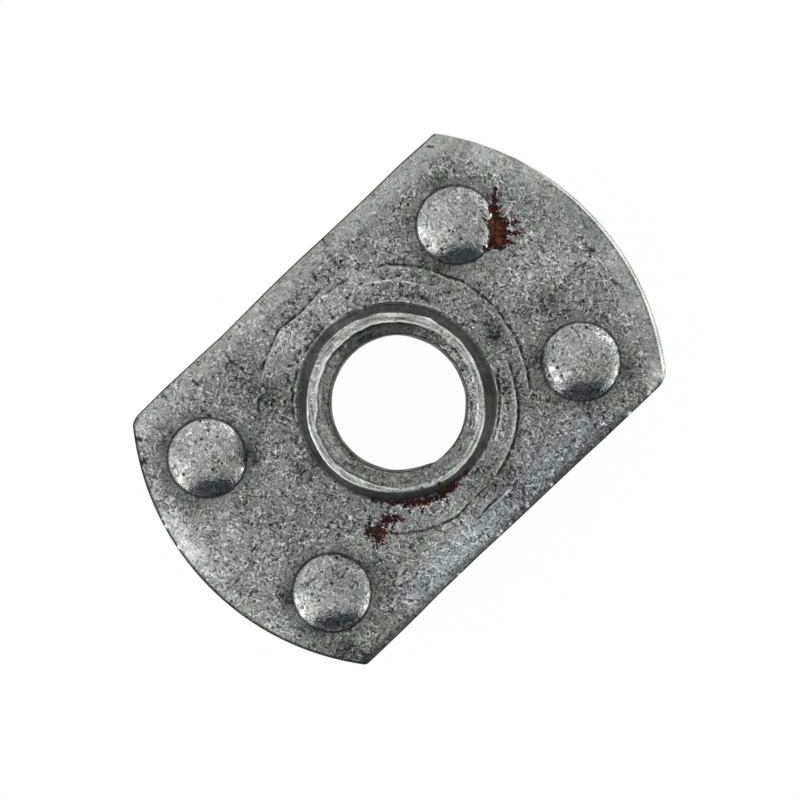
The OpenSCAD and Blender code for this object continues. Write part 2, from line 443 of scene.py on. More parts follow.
def lattice(ix, iy, iz, seed):
    """A repeatable number from -1 to 1 for each point of a whole-number lattice."""
    h = (ix * 374761393 + iy * 668265263 + iz * 1274126177 + seed * 974711) & 0xFFFFFFFF
    h = ((h ^ (h >> 13)) * 1103515245 + 12345) & 0xFFFFFFFF
    h = (h ^ (h >> 16)) & 0xFFFFFF
    return h / 0x7FFFFF - 1.0


def noise(points, size, seed):
    """Smooth noise from -1 to 1 whose blobs are about size across."""
    p = points / size
    cell = np.floor(p).astype(np.int64)
    f = p - cell
    f = f * f * f * (f * (f * 6.0 - 15.0) + 10.0)
    total = np.zeros(len(p))
    for dx in (0, 1):
        for dy in (0, 1):
            for dz in (0, 1):
                w = f[:, 0] if dx else 1 - f[:, 0]
                w = w * (f[:, 1] if dy else 1 - f[:, 1])
                w = w * (f[:, 2] if dz else 1 - f[:, 2])
                total += w * lattice(cell[:, 0] + dx, cell[:, 1] + dy, cell[:, 2] + dz, seed)
    return total


def in_plane(x, y):
    """Points of the plane z = 0, for noise over the face."""
    return np.column_stack([x, y, np.zeros_like(x)])


def polar(x, y):
    """Degrees from +X and radius, from the collar's centre."""
    return np.degrees(np.arctan2(y - COLLAR_Y, x - COLLAR_X)), np.hypot(x - COLLAR_X, y - COLLAR_Y)


def from_polar(degrees, r):
    """The place at an angle and a radius from the collar's centre."""
    a = np.radians(degrees)
    return COLLAR_X + r * np.cos(a), COLLAR_Y + r * np.sin(a)


def dome_centres():
    """Centres of the projections, from the pattern's place, spacing and turn."""
    c, s = math.cos(DOME_TURN), math.sin(DOME_TURN)
    corners = [(sx * DOME_HALF_X, sy * DOME_HALF_Y) for sx in (-1, 1) for sy in (-1, 1)]
    places = [(DOME_X + c * x - s * y, DOME_Y + s * x + c * y) for x, y in corners]
    return [(x + dx, y + dy) for (x, y), (dx, dy) in zip(places, DOME_NUDGES)]


DOMES = dome_centres()


def toward(degrees_from_right, elevation=0.0):
    """A direction in the picture, counter-clockwise from its right side, raised by an elevation."""
    a, e = math.radians(degrees_from_right), math.radians(elevation)
    flat = RIGHT * math.cos(a) + UP * math.sin(a)
    return flat * math.cos(e) + np.array([0.0, 0.0, math.sin(e)])


def on_dome(which, degrees, distance):
    """The place on a projection at an angle in the picture and a distance from its centre."""
    return tuple(np.array(DOMES[which]) + distance * toward(degrees)[:2])


def all_specks():
    """Place and radius of every black speck."""
    near_collar = [(*from_polar(degrees, place), r) for degrees, place, r in SPECKS_BY_COLLAR]
    on_domes = [
        (*on_dome(which, degrees, distance), r)
        for which, specks in SPECKS_ON_DOMES.items()
        for degrees, distance, r in specks
    ]
    return SPECKS + near_collar + on_domes


def flat_wander(u, v):
    """How far the nearer flat wanders inwards, at a place from the flange's centre."""
    return np.where(v > 0, along(WANDER_PLUS_Y, u), along(WANDER_MINUS_Y, u))


def end_reach(u, v):
    """Radius of the nearer round end, at a place from the flange's centre."""
    from_middle = np.arctan2(np.abs(v), np.abs(u)) / math.asin(HALF_AF / END_R)
    flattened = np.where(u > 0, FLATTENED_PLUS_X, FLATTENED_MINUS_X)
    return END_R - flattened * (1 - np.clip(from_middle, 0, 1) ** 2)


def edge_distances(x, y):
    """Distances inside the flats and inside the round ends."""
    u, v = x - FLANGE_X, y - FLANGE_Y
    return HALF_AF - flat_wander(u, v) - np.abs(v), end_reach(u, v) - np.hypot(u, v)


def edge_drop(d, edge):
    """How far the face falls at distance d inside an edge."""
    d = np.maximum(d, 0.0)
    bevel = edge["bevel_h"] * np.clip(1.0 - d / edge["bevel_w"], 0.0, 1.0) ** edge["power"]
    r = edge["radius"]
    t = np.clip(r - d, 0.0, r)
    return bevel + r - np.sqrt(np.maximum(r * r - t * t, 0.0))


def outline_drop(x, y):
    """The fall of the face towards the flats and the round ends."""
    d_flat, d_end = edge_distances(x, y)
    p = in_plane(x, y)
    shift = 0.02 * noise(p, 0.9, 12)
    d_flat, d_end = d_flat + shift * (d_flat > 0.05), d_end + shift * (d_end > 0.05)
    flats = [edge_drop(d_flat, EDGES[name]) for name in ("plus_y", "minus_y")]
    ends = [edge_drop(d_end, EDGES[name]) for name in ("plus_x", "minus_x")]
    flats, ends = np.where(y > FLANGE_Y, *flats), np.where(x > FLANGE_X, *ends)
    return np.maximum(flats, ends) * (1.0 + 0.2 * noise(p, 1.3, 11))


def line_offset(x, y, line):
    """Signed distance outside a line round the collar, and how strongly the line shows there."""
    angles, radii = np.array(sorted(line), float).T
    turn, r = polar(x, y)
    middle = (angles[0] + angles[-1]) / 2
    turn = middle + (turn - middle + 180.0) % 360.0 - 180.0
    shows = span(turn, angles[0] - 1, angles[0] + 3, angles[-1] - 3, angles[-1] + 1)
    p = in_plane(x, y)
    waver = 0.015 * noise(p, 0.3, 21) + 0.02 * noise(p, 0.13, 23)
    return r - np.interp(turn, angles, radii) + waver, shows


def fold_marks(x, y):
    """Strength of the lips and the grooves along the fold lines, and of the light ridges."""
    lips, grooves, ridges = np.zeros_like(x), np.zeros_like(x), np.zeros_like(x)
    broken = np.clip(1.0 + 0.5 * noise(in_plane(x, y), 0.5, 22), 0.0, 1.0)
    for strength, line in FOLDS:
        s, shows = line_offset(x, y, line)
        shows = shows * strength * broken
        lip = np.exp(np.minimum(s, 0.0) / FOLD_LIP_W) * (1 - ease(-0.02, 0.02, s))
        lips = np.maximum(lips, shows * lip)
        grooves = np.maximum(grooves, shows * bump(s - FOLD_GROOVE_W, FOLD_GROOVE_W))
    for strength, line in RIDGES:
        s, shows = line_offset(x, y, line)
        ridges = np.maximum(ridges, shows * strength * broken * bump(s, RIDGE_W))
    return lips, grooves, ridges


def collar_edges(turn):
    """Radii of the collar's foot and of its land's outer and inner edges, by direction."""
    a = np.radians(turn)
    around = in_plane(np.cos(a), np.sin(a)) * COUNTERSINK_R
    ragged = 0.6 * noise(around, 0.4, 31) + 0.4 * noise(around, 0.15, 32)
    foot = along(COLLAR_FOOT, turn, 360)
    outer = along(LAND_OUTER, turn, 360) + 0.012 * ragged
    inner = along(LAND_INNER, turn, 360) + 0.035 * ragged
    return foot, outer, inner


def collar_height(x, y):
    """Height above the face of the collar's wall, land and countersink."""
    turn, r = polar(x, y)
    foot, outer, inner = collar_edges(turn)
    wall = (foot - r) * COLLAR_H / (foot - outer)
    sink = COLLAR_H + r - inner
    return soft_min(soft_min(wall, COLLAR_H, 0.1), sink, 0.04)


def dome_shape(x, y):
    """Height of the spherical caps, and distance to the nearest cap's centre."""
    cap_r = (DOME_R**2 + DOME_H**2) / (2 * DOME_H)
    rim = cap_r * math.sin(DOME_SLOPE)
    z = np.zeros_like(x)
    nearest = np.full_like(x, 99.0)
    for i, (cx, cy) in enumerate(DOMES):
        d = np.hypot(x - cx, y - cy)
        around = np.column_stack([x - cx, y - cy, np.full_like(x, i * 7.0)])
        d = d * (1.0 + 0.01 * noise(around, 1.1, 41))
        cap = np.sqrt(cap_r**2 - np.minimum(d, rim) ** 2) - (cap_r - DOME_H)
        cap -= np.maximum(d - rim, 0.0) * math.tan(DOME_SLOPE)
        z = np.where(d < DOME_R, np.maximum(cap, 0.0), z)
        nearest = np.minimum(nearest, d)
    return z, nearest


def face_relief(x, y):
    """Waves, dents and grain of the headed face."""
    p = in_plane(x, y)
    return sum(height * noise(p, size, seed) for height, size, seed in FACE_WAVES)


def stroke_distance(x, y, strokes):
    """Distance outside the nearest of some strokes, negative within one."""
    best = np.full_like(x, 99.0)
    for (ax, ay), (bx, by), half in strokes:
        length2 = (bx - ax) ** 2 + (by - ay) ** 2
        t = np.clip(((x - ax) * (bx - ax) + (y - ay) * (by - ay)) / length2, 0.0, 1.0)
        d = np.hypot(x - ax - t * (bx - ax), y - ay - t * (by - ay)) - half
        best = np.minimum(best, d)
    return best


def rust_amount(x, y):
    """A half at the edge of a rusty stroke, more within it and 0 a little way outside."""
    strokes = [(from_polar(*a), from_polar(*b), half) for a, b, half in RUST_BY_COLLAR]
    by_collar = 0.5 - stroke_distance(x, y, strokes) / RUST_REACH
    by_dome = 0.5 - stroke_distance(x, y, RUST_BY_DOME) / RUST_REACH
    return np.maximum(np.clip(by_collar, 0.0, 0.95), np.clip(by_dome, 0.0, 2.0))


def nick_marks(x, y):
    """Depth of the bright nicks, and how far they show."""
    depth, shine = np.zeros_like(x), np.zeros_like(x)
    for nx, ny, r, h in NICKS:
        near = bump(np.hypot(x - nx, y - ny), r)
        depth = np.maximum(depth, h * near)
        shine = np.maximum(shine, ease(0.2, 0.6, near))
    return depth, shine


def speck_marks(x, y):
    """How far the black specks show."""
    near = np.zeros_like(x)
    for sx, sy, r in all_specks():
        near = np.maximum(near, bump(np.hypot(x - sx, y - sy), r))
    return ease(0.25, 0.6, near)


def scratch_marks(x, y):
    """How far the scratches show."""
    return 1 - ease(-0.02, 0.03, stroke_distance(x, y, SCRATCHES))


def face_height(x, y):
    """Height of the upper side, from the outline to the countersink."""
    lips, grooves, ridges = fold_marks(x, y)
    relief = face_relief(x, y)
    turn, r = polar(x, y)
    foot = along(COLLAR_FOOT, turn, 360)
    caps, d_dome = dome_shape(x, y)
    ground = relief * (1 - 0.6 * (caps > 0)) - outline_drop(x, y) - nick_marks(x, y)[0]
    ground += RING_H * (1 - ease(RING_R - 0.2, RING_R + 0.15, r))
    ground += FOLD_LIP_H * np.maximum(lips, ridges) - FOLD_GROOVE_D * grooves
    ground -= SPECK_D * speck_marks(x, y) + SCRATCH_D * scratch_marks(x, y)
    ground -= FOOT_GROOVE_D * bump(r - foot, 0.05) + CREASE_D * bump(d_dome - DOME_R - 0.01, 0.024)
    ground += RUST_H * ease(0.5, 0.8, rust_amount(x, y)) * (1 + noise(in_plane(x, y), 0.15, 61))
    collar_z = collar_height(x, y) + 0.25 * relief
    ground = np.where(r < foot + 0.1, np.maximum(ground, collar_z), ground)
    ground = np.where(r < COUNTERSINK_R, collar_z, ground)
    return FACE_Z + ground + caps


def ring(cx, cy, r, count, half_step=False):
    """Points round a circle."""
    a = (np.arange(count) + (0.5 if half_step else 0.0)) * 2 * math.pi / count
    return np.column_stack([cx + r * np.cos(a), cy + r * np.sin(a)])


def stepped(start, end, length):
    """Evenly spaced values from start, without end, about a rim step apart over a length."""
    return np.linspace(start, end, max(2, round(length / RIM_STEP)), endpoint=False)


def knocked_off(start, corner, end, cut):
    """Points along a curve from start, without end, that knocks a corner off."""
    t = stepped(0, 1, 1.5 * cut)[:, None]
    tip = (corner + (start + end) / 2) / 2
    return (1 - t) ** 2 * start + 2 * t * (1 - t) * tip + t**2 * end


def plain_outline(r, h):
    """Points round a disc with two flats, counter-clockwise, with its corners knocked off."""
    corner = math.asin(h / r)
    half_flat = r * math.cos(corner)
    first, second, third, fourth = CORNER_CUTS
    pieces = []
    for sign, before, near, far in ((1, fourth, first, second), (-1, second, third, fourth)):
        start, end, next_start = -corner + before / r, corner - near / r, -corner + far / r
        a = stepped(start, end, r * (end - start))
        arc = np.column_stack([r * np.cos(a), r * np.sin(a)])
        x = stepped(half_flat - near, -half_flat + far, 2 * half_flat)
        flat = np.column_stack([x, np.full_like(x, h)])
        arc_end = np.array([r * math.cos(end), r * math.sin(end)])
        flat_end = np.array([-half_flat + far, h])
        next_arc = -np.array([r * math.cos(next_start), r * math.sin(next_start)])
        near_corner = knocked_off(arc_end, np.array([half_flat, h]), flat[0], near)
        far_corner = knocked_off(flat_end, np.array([-half_flat, h]), next_arc, far)
        pieces.append(sign * np.vstack([arc, near_corner, flat, far_corner]))
    return np.vstack(pieces)


def outline(inset=0.0):
    """Points round the flange at an inset, with the wander of its flats and its flattened ends."""
    u, v = plain_outline(END_R - inset, HALF_AF - inset).T
    nearer_flat = ease(-0.25, 0.25, END_R - np.hypot(u, v) - (HALF_AF - np.abs(v)))
    v = v - np.sign(v) * nearer_flat * flat_wander(u, v)
    shrink = 1 - (1 - nearer_flat) * (END_R - end_reach(u, v)) / END_R
    return np.column_stack([u * shrink + FLANGE_X, v * shrink + FLANGE_Y])


def thinned(points, keep_away, gap):
    """The points that lie at least gap from every point of keep_away."""
    tree = KDTree(len(keep_away))
    for i, p in enumerate(keep_away):
        tree.insert((p[0], p[1], 0.0), i)
    tree.balance()
    far = [tree.find((p[0], p[1], 0.0))[2] >= gap for p in points]
    return points[np.array(far)]


def hex_grid(step):
    """A triangular lattice of points over the flange's box."""
    rows = np.arange(-HALF_AF, HALF_AF, step * math.sqrt(3) / 2)
    x, y = np.meshgrid(np.arange(-END_R, END_R, step), rows)
    x = x + (np.arange(len(rows)) % 2)[:, None] * step / 2
    return np.column_stack([x.ravel() + FLANGE_X, y.ravel() + FLANGE_Y])


def inside_flange(points, margin):
    """Which points lie inside the flange by at least margin, clear of its knocked corners."""
    d_flat, d_end = edge_distances(points[:, 0], points[:, 1])
    inside = np.minimum(d_flat, d_end) > margin
    half_flat = math.sqrt(END_R**2 - HALF_AF**2)
    u, v = points[:, 0] - FLANGE_X, points[:, 1] - FLANGE_Y
    for (sx, sy), cut in zip(((1, 1), (-1, 1), (-1, -1), (1, -1)), CORNER_CUTS):
        inside &= np.hypot(u - sx * half_flat, v - sy * HALF_AF) > 0.85 * cut + 0.1 + margin
    return inside


def triangulated(outer, inner, others):
    """Points and triangles between an outer loop and a ring round the axis, which come first."""
    points = np.vstack([outer, inner, others])
    n, m = len(outer), len(inner)
    edges = [(i, (i + 1) % n) for i in range(n)]
    edges += [(n + i, n + (i + 1) % m) for i in range(m)]
    coords = [Vector(p) for p in points.tolist()]
    _, _, faces, origin, _, _ = delaunay_2d_cdt(coords, edges, [], 1, 1e-9)
    first = np.array([o[0] for o in origin])
    tris = first[np.array(faces)]
    hole_r = np.hypot(*inner[0]) * math.cos(math.pi / m)
    middle = points[tris].mean(axis=1)
    return points, tris[np.hypot(middle[:, 0], middle[:, 1]) > hole_r - 1e-6]


def dome_rings():
    """Rings of points over each projection, close together at its foot."""
    foot = DOME_R + np.array(DOME_FOOT_ROWS)
    radii = np.append(np.arange(DOME_STEP, DOME_R - 0.17, DOME_STEP), foot)
    out = []
    for cx, cy in DOMES:
        out.append(np.array([[cx, cy]]))
        for i, r in enumerate(radii):
            out.append(ring(cx, cy, r, max(6, int(2 * math.pi * r / DOME_STEP)), i % 2 == 0))
    return np.vstack(out)


def fold_rows():
    """Rows of points along the fold lines and ridges, so that they stay sharp."""
    out = []
    for _, line in FOLDS + RIDGES:
        angles, radii = np.array(sorted(line), float).T
        count = int(math.radians(angles[-1] - angles[0]) * radii.mean() / FOLD_STEP)
        a = np.linspace(angles[0], angles[-1], count)
        for offset in FOLD_ROWS:
            out.append(np.column_stack(from_polar(a, np.interp(a, angles, radii) + offset)))
    return np.vstack(out)


def spot_points():
    """Points round each nick and speck, so that they stay sharp."""
    out = []
    for x, y, r in [nick[:3] for nick in NICKS] + all_specks():
        out += [[(x, y)], ring(x, y, 0.7 * r, 6), ring(x, y, 1.4 * r, 10)]
    return np.vstack(out)


def inset_points(insets):
    """Rows of points inside the flange's edges."""
    return np.vstack([outline(inset) for inset in insets])


def feature_points():
    """Points that follow the edges, the collar, the projections and the fold lines."""
    rings = [ring(0, 0, r, COLLAR_COLUMNS, i % 2 == 0) for i, r in enumerate(COLLAR_ROWS)]
    kept = np.vstack([inset_points(UPPER_INSETS)] + rings)
    for more in (spot_points(), dome_rings(), fold_rows()):
        kept = np.vstack([kept, thinned(more, kept, FEATURE_GAP)])
    return kept


class Shell:
    """Points and triangles of one closed surface, added patch by patch."""

    def __init__(self):
        self.points = np.zeros((0, 3))
        self.tris = []

    def add(self, points):
        """Adds points and returns their numbers."""
        ids = len(self.points) + np.arange(len(points))
        self.points = np.vstack([self.points, points])
        return ids

    def skin(self, rows):
        """Joins closed loops of as many points each, one after the other."""
        for a, b in zip(rows[:-1], rows[1:]):
            next_a, next_b = np.roll(a, -1), np.roll(b, -1)
            self.tris.append(np.column_stack([a, b, next_a]))
            self.tris.append(np.column_stack([next_a, b, next_b]))


def add_face(shell, hole_r, features, height, step, clear, margin, gap, face_down=False):
    """One side of the flange round a hole: its features, and a lattice that keeps clear of the hole,
    of the edges by a margin and of the features by a gap. Returns its outer and inner loops."""
    outer, inner = outline(), ring(0, 0, hole_r, COLUMNS)
    features = features[inside_flange(features, EDGE_MARGIN)]
    grid = hex_grid(step)
    grid = grid[inside_flange(grid, margin) & (np.hypot(grid[:, 0], grid[:, 1]) > hole_r + clear)]
    points, tris = triangulated(outer, inner, np.vstack([features, thinned(grid, features, gap)]))
    ids = shell.add(np.column_stack([points, height(points[:, 0], points[:, 1])]))
    shell.tris.append(ids[tris][:, ::-1] if face_down else ids[tris])
    return ids[: len(outer)], ids[len(outer) : len(outer) + len(inner)]


def add_upper_side(shell):
    """The face with its projections, collar and countersink."""
    lattice_sizes = {"step": FACE_STEP, "clear": 0.05, "margin": 0.03, "gap": 0.6 * FACE_STEP}
    return add_face(shell, MOUTH_R, feature_points(), face_height, **lattice_sizes)


def under_height(x, y):
    """Height of the underside, with its small edge radius."""
    d = np.maximum(np.minimum(*edge_distances(x, y)), 0)
    t = np.clip(UNDER_EDGE_R - d, 0, UNDER_EDGE_R)
    lift = UNDER_EDGE_R - np.sqrt(UNDER_EDGE_R**2 - t**2)
    p = in_plane(x, y)
    waves = 0.012 * noise(p, 2.5, 71) + 0.006 * noise(p, 0.6, 72)
    calm = ease(BARREL_R + BARREL_FILLET, BARREL_R + BARREL_FILLET + 0.5, np.hypot(x, y))
    return UNDER_Z + lift + waves * calm


def add_underside(shell):
    """The flange's underside, in to the fillet."""
    hole_r, features = BARREL_R + BARREL_FILLET, inset_points(UNDER_INSETS)
    lattice_sizes = {"step": UNDER_STEP, "clear": 0.1, "margin": 0.2, "gap": 0.08}
    return add_face(shell, hole_r, features, under_height, **lattice_sizes, face_down=True)


def add_rim(shell, top, bottom):
    """The flange's side: sheared flats with a torn lower band, and smooth round ends."""
    upper, lower = shell.points[top], shell.points[bottom]
    run = np.roll(upper, -1, axis=0) - np.roll(upper, 1, axis=0)
    inward = np.column_stack([-run[:, 1], run[:, 0], np.zeros(len(run))])
    inward /= np.linalg.norm(inward, axis=1)[:, None]
    sheared = ease(0.9, 0.99, np.abs(inward[:, 1]))
    rows = [top]
    for t in RIM_ROWS:
        p = upper * (1 - t) + lower * t
        low_band = ease(0.45, 0.62, t)
        drag = noise(p * (1, 1, 0.12), 0.16, 81)
        torn = noise(p, 0.3, 82) * low_band
        depth = sheared * (0.012 + 0.008 * drag + 0.03 * (1 + torn) * low_band)
        depth += (1 - sheared) * 0.01 * (1 + noise(p, 0.5, 83))
        rows.append(shell.add(p + inward * (depth * math.sin(math.pi * t) ** 0.5)[:, None]))
    shell.skin(rows + [bottom])


def thread_depth(turn, z):
    """Depth of the right-hand thread at an angle and a height, fading at both mouths."""
    flank = 1 / math.tan(FLANK_ANGLE)
    root_half = THREAD_PITCH / 16
    place = (z / THREAD_PITCH - turn / (2 * math.pi)) % 1.0
    from_root = np.abs(place - 0.5) * THREAD_PITCH - root_half
    depth = np.clip(THREAD_ROOT_R - BORE_R - np.maximum(from_root, 0) * flank, 0, None)
    return depth * ease(0.3, 0.8, z) * (1 - ease(RIM_Z - 1.2, RIM_Z - 0.75, z))


def barrel_profile():
    """Radius and height down the outside of the barrel and in along its end."""
    t = np.radians(np.linspace(105, 180, 6))
    top = UNDER_Z - BARREL_FILLET
    arc = [(1 + math.cos(a), math.sin(a)) for a in t]
    fillet = [(BARREL_R + BARREL_FILLET * x, top + BARREL_FILLET * z) for x, z in arc]
    soft = 0.03
    side = [(BARREL_R, z) for z in np.linspace(top - 0.1, BARREL_CHAMFER + soft, 14)]
    inner = BARREL_R - BARREL_CHAMFER
    chamfer = [
        (BARREL_R - soft / 2, BARREL_CHAMFER - soft / 2),
        (BARREL_R - BARREL_CHAMFER / 2, BARREL_CHAMFER / 2),
        (inner + soft / 2, soft / 2),
    ]
    end = [(r, 0.0) for r in np.linspace(inner - soft, COUNTERSINK_R + soft, 8)]
    return fillet + side + chamfer + end


def add_core(shell, under_loop, mouth_loop):
    """The barrel, its end, and the bore with its thread, from the underside up to the mouth."""
    turn = np.arange(COLUMNS) * 2 * math.pi / COLUMNS
    circle = np.column_stack([np.cos(turn), np.sin(turn)])
    rows = [under_loop]
    for r, z in barrel_profile():
        p = np.column_stack([circle * r, np.full(COLUMNS, z)])
        skin = 0.008 * noise(p, 1.2, 91) + 0.004 * noise(p, 0.4, 92)
        if z == 0.0:
            p[:, 2] += np.abs(skin)
        else:
            p[:, :2] += circle * skin[:, None]
        rows.append(shell.add(p))
    for z in np.linspace(0.04, MOUTH_Z, int(MOUTH_Z / BORE_STEP)):
        worn = along(WORN_MOUTH, np.degrees(turn), 360) + WORN_DRAFT * (FACE_Z - z)
        r = np.maximum(np.maximum(BORE_R + thread_depth(turn, z), worn), COUNTERSINK_R - z)
        rows.append(shell.add(np.column_stack([circle * r[:, None], np.full(COLUMNS, z)])))
    lip = circle * (r[:, None] + 0.02)
    rows.append(shell.add(np.column_stack([lip, FACE_Z + collar_height(*lip.T)])))
    shell.skin(rows + [mouth_loop])


def edge_marks(x, y, marks, patchy):
    """The flange's edges: painted shade on the rounded edges and in a strip at -Y, a painted highlight at
    +X, and lighter, calmer borders with painted light at +Y and -X.
    """
    u, v = x - FLANGE_X, y - FLANGE_Y
    d_flat, d_end = edge_distances(x, y)
    d_edge = np.minimum(d_flat, d_end)
    bright_end = (u > 0) & (d_end < d_flat)
    line_w = np.where((u < 0) & (d_end < d_flat), 0.065, 0.03)
    # painted shade: a dark outline on the rounded edges, left off the lit end at +X
    marks["dirt_and_shade"] += 0.85 * (1 - ease(line_w, line_w + 0.04, d_edge)) * ~bright_end

    # painted highlight in a strip round the end at +X, with painted shade lines at its outer edge and
    # inside it
    arc = np.degrees(np.arctan2(v, u))
    width = along(END_SHINE, arc)
    at_end = (u > 0) * ease(-0.1, 0.4, d_flat)
    marks["wear_and_highlight"] += at_end * (1 - ease(width - 0.02, width + 0.01, d_end)) * (0.74 + 0.25 * patchy)
    marks["dirt_and_shade"] += 0.35 * at_end * bump(d_end - 0.03, 0.018) * (1 - ease(14, 20, arc))
    marks["dirt_and_shade"] += 0.8 * at_end * bump(d_end - width - 0.025, 0.02) * along(END_LINE, arc)

    border = (u > 0) * (1 - ease(0.4, 1.1, d_end))
    marks["tone_and_painted_light"] += 0.05 * border
    marks["calm"] += 0.6 * border
    # painted light on the rolled edge along the flat at +Y, which faces the light
    border = (v > 0) * (1 - ease(0.5, 1.0, d_flat))
    marks["tone_and_painted_light"] += 0.16 * border
    marks["calm"] += border * (0.3 + 0.4 * ease(-3, 0, u))
    # painted light on the rolled edge round the end at -X
    border = (u < 0) * span(d_end, 0.05, 0.15, 0.3, 0.9) * ease(-5.0, -2.0, v)
    marks["tone_and_painted_light"] += 0.1 * border

    # painted shade in a strip along the flat at -Y, which faces away from the light
    width = along(DARK_STRIP, u)
    ragged = 0.05 * patchy + 0.07 * noise(in_plane(x, y), 0.22, 102)
    strip = (v < 0) * (1 - ease(width - 0.04, width + 0.04, d_flat + ragged))
    marks["dirt_and_shade"] += 0.25 * strip * (1 + 0.4 * patchy)
    marks["calm"] += 0.1 * strip
    marks["cool"] += (v < 0) * span(d_flat, 0.1, 0.3, 0.9, 1.6) * (1 - ease(4, 6, np.abs(u)))


def dome_marks(x, y, marks, patchy):
    """The projections: light, with painted highlights and rubbed places, painted shade in the thin crease
    at their foot and a calm ring of painted shade round them.
    """
    _, d = dome_shape(x, y)
    cap = 1 - ease(DOME_R - 0.06, DOME_R, d)
    marks["tone_and_painted_light"] += cap * (0.15 + 0.06 * patchy)
    marks["polish"] += 0.85 * cap
    marks["calm"] += 0.3 * cap
    # painted shade in the crease at each projection's foot
    marks["dirt_and_shade"] += bump(d - DOME_R - 0.008, 0.026) * (1.0 + 0.3 * patchy)
    broken = 1 + 0.6 * noise(in_plane(x, y), 0.16, 115) + 0.4 * noise(in_plane(x, y), 0.09, 116)
    # painted highlights where the projections face the lights, with some rubbed places
    for which, bright_places in SHINE_ON_DOMES.items():
        for degrees, distance, r, strength in bright_places:
            px, py = on_dome(which, degrees, distance)
            near = bump(np.hypot(x - px, y - py), r)
            marks["wear_and_highlight"] += cap * strength * ease(0.35, 0.75, near * broken)
    # painted shade in a ring round each projection's foot
    shade_ring = (1 - ease(0.15, 0.6, d - DOME_R)) * (d > DOME_R)
    marks["tone_and_painted_light"] -= 0.1 * shade_ring * (1 + 0.5 * patchy)
    marks["calm"] += 0.5 * shade_ring


def collar_marks(x, y, marks, patchy):
    """The collar: painted shade on its wall and at its foot, a streaked land with painted highlights along
    its edges, a darker countersink, and painted highlights and shade along the fold lines.
    """
    turn, r = polar(x, y)
    foot, outer, inner = collar_edges(turn)
    a = np.radians(turn)
    streak = noise(in_plane(r / 0.07, a * 3.2 / 0.9), 1.0, 111)
    chips = noise(in_plane(r / 0.09, a * 3 / 0.16), 1.0, 112)
    land = span(r, inner - 0.02, inner + 0.02, outer - 0.03, outer + 0.01)
    wall = span(r, outer - 0.01, outer + 0.03, foot - 0.02, foot + 0.03)
    sink = 1 - ease(inner - 0.02, inner + 0.02, r)
    # painted light: the land is lighter on the side that faces the light
    lighter = span(turn, 35, 50, 110, 125)
    marks["tone_and_painted_light"] += land * (0.18 + 0.07 * lighter + 0.24 * streak + 0.12 * patchy)
    # painted highlights, with some rubbing, along the land's outer and inner edges, set by direction;
    # painted shade in a line just inside the inner edge
    outer_shine, inner_shine = along(OUTER_SHINE, turn, 360), along(INNER_SHINE, turn, 360)
    marks["wear_and_highlight"] += 1.4 * bump(r - outer + 0.025, 0.026) * outer_shine * (1 + 0.5 * chips)
    marks["wear_and_highlight"] += 1.3 * bump(r - inner - 0.03, 0.03) * inner_shine * (1 + 0.6 * chips)
    marks["dirt_and_shade"] += 0.9 * bump(r - inner + 0.04, 0.03) * along(INNER_LINE, turn, 360)
    # painted shade on the collar's steep wall and in the crease at its foot
    marks["dirt_and_shade"] += wall * (0.09 + 0.1 * streak) + 0.6 * bump(r - foot, 0.035)
    # painted light on the part of the wall that the lighting leaves dim
    marks["tone_and_painted_light"] += 0.15 * wall * span(turn, -150, -130, -95, -70)
    shaded = span(turn, 10, 34, 95, 140)
    rough = span(turn, -75, -45, 8, 25)
    marks["tone_and_painted_light"] += sink * (0.07 + 0.1 * streak + (0.1 + 0.12 * rough) * chips + 0.01 * shaded)
    # painted shade on one side of the countersink
    marks["tone_and_painted_light"] -= 0.14 * sink * span(turn, -30, -12, 4, 16)
    marks["calm"] += wall + 0.6 * land + sink * (0.15 - 0.9 * rough + 0.3 * shaded)
    marks["polish"] += 0.5 * land + 0.4 * wall
    marks["turned"] += land + 0.6 * sink + 0.3 * wall
    marks["cool"] -= sink * (0.5 + 0.5 * rough)

    near = ease(foot, foot + 0.1, r)
    lips, grooves, ridges = fold_marks(x, y)
    torn = noise(in_plane(x, y), 0.14, 114)
    # painted highlights on the fold lips and ridges, and painted shade in the fold grooves
    lit_lips = 0.65 * lips * (1 + 0.6 * patchy + 0.5 * torn)
    marks["wear_and_highlight"] += near * np.maximum(lit_lips, 0.9 * ridges * (1 + 0.5 * torn))
    marks["dirt_and_shade"] += near * np.clip(1.4 * grooves * (1.0 + 1.1 * torn), 0.0, 1.0)
    marks["tone_and_painted_light"] -= 0.12 * bump(r - DARK_BAND_R, 0.09) * span(turn, -85, -75, -45, -30)
    pits = ease(0.3, 0.5, noise(in_plane(x, y), 0.15, 113)) * bump(r - PITTED_BAND_R, 0.13)
    marks["dirt_and_shade"] += 0.8 * pits * span(turn, 20, 30, 140, 150)


